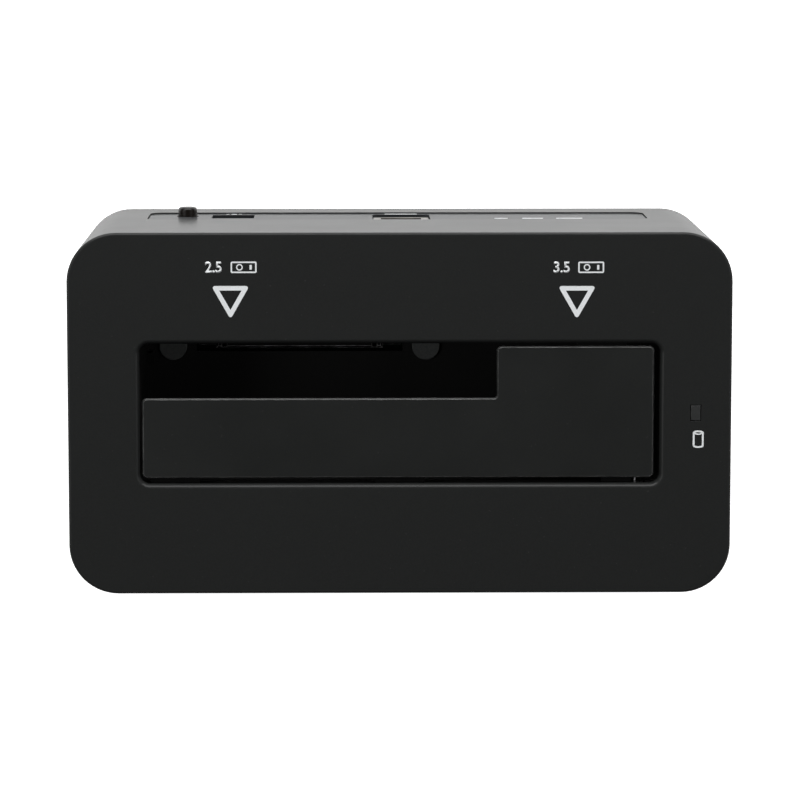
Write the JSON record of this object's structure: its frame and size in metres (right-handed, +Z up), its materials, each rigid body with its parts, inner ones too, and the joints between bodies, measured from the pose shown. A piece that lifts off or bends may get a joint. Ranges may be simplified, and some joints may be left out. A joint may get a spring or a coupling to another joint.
{
  "type": "hard drive docking station",
  "caption": "Upright single-bay drive dock: rounded box with a drive slot in its top closed by a sprung L-shaped flap, ports and a push button on the rear.",
  "frame": {"origin": "on the surface the dock stands on, under the middle of its bounding box", "axes": "+X to the right along the drive slot, +Y to the rear where the ports are, +Z up out of the drive slot"},
  "size_m": [0.1334, 0.075, 0.062],
  "materials": {
    "bay_black": "plain moulded",
    "board_green": "solder mask",
    "button_black": "smooth moulded",
    "can_metal": "drawn can",
    "case_black": "fine satin moulded grain",
    "chip_black": "moulded package",
    "chip_tan": "fired ceramic",
    "contact_gold": "gold plated",
    "ferrite": "pressed ferrite",
    "flap_black": "fine satin moulded grain",
    "foot_rubber": "matt",
    "led_white": "clear cap",
    "pad_rubber": "matt",
    "panel_black": "satin",
    "plug_black": "moulded",
    "port_metal": "bright plated sheet",
    "screw_zinc": "zinc plated",
    "smoky_lens": "polished smoky clear plastic",
    "steel": "bright drawn wire"
  },
  "bodies": {
    "dock": {"bay_screw_1": "screw_zinc", "bay_screw_2": "screw_zinc", "bay_screw_3": "screw_zinc", "bay_screw_4": "screw_zinc", "board_screw_1": "screw_zinc", "board_screw_2": "screw_zinc", "board_screw_3": "screw_zinc", "board_screw_4": "screw_zinc", "bottom_cover": "case_black", "bridge_chip": "chip_black", "capacitor_1": "can_metal", "capacitor_2": "can_metal", "case_screw_1": "screw_zinc", "case_screw_2": "screw_zinc", "case_screw_3": "screw_zinc", "case_screw_4": "screw_zinc", "chip_parts": "chip_tan", "crystal": "can_metal", "dc_jack_body": "plug_black", "dc_jack_leaf": "contact_gold", "dc_jack_pin": "contact_gold", "drive_bay": "bay_black", "flap_spring": "steel", "flash_chip": "chip_black", "hinge_rod": "steel", "inductor": "ferrite", "light_pipe": "smoky_lens", "main_board": "board_green", "rear_panel": "panel_black", "regulator": "chip_black", "rubber_foot_1": "foot_rubber", "rubber_foot_2": "foot_rubber", "rubber_foot_3": "foot_rubber", "rubber_foot_4": "foot_rubber", "sata_contacts": "contact_gold", "sata_housing": "plug_black", "shock_pad_1": "pad_rubber", "shock_pad_2": "pad_rubber", "status_led": "led_white", "switch_body": "plug_black", "upper_shell": "case_black", "usb_contacts": "contact_gold", "usb_shell": "port_metal", "usb_tongue": "plug_black"},
    "flap": {"slot_flap": "flap_black"},
    "button": {"power_button": "button_black", "switch_plunger": "button_black"}
  },
  "joints": [
    {"name": "flap_hinge", "type": "hinge", "parent": "dock", "child": "flap", "pos_m": [0, -0.016, 0.0587], "axis": [1, 0, 0], "range_deg": [-90, 0], "stiffness_Nm_per_rad": 0.003, "springref_deg": 57.3, "deforming": ["flap_spring"]},
    {"name": "power_button_press", "type": "slide", "parent": "dock", "child": "button", "axis": [0, -1, 0], "range_m": [0, 0.0015], "stiffness_N_per_m": 300, "springref_m": -0.002}
  ]
}
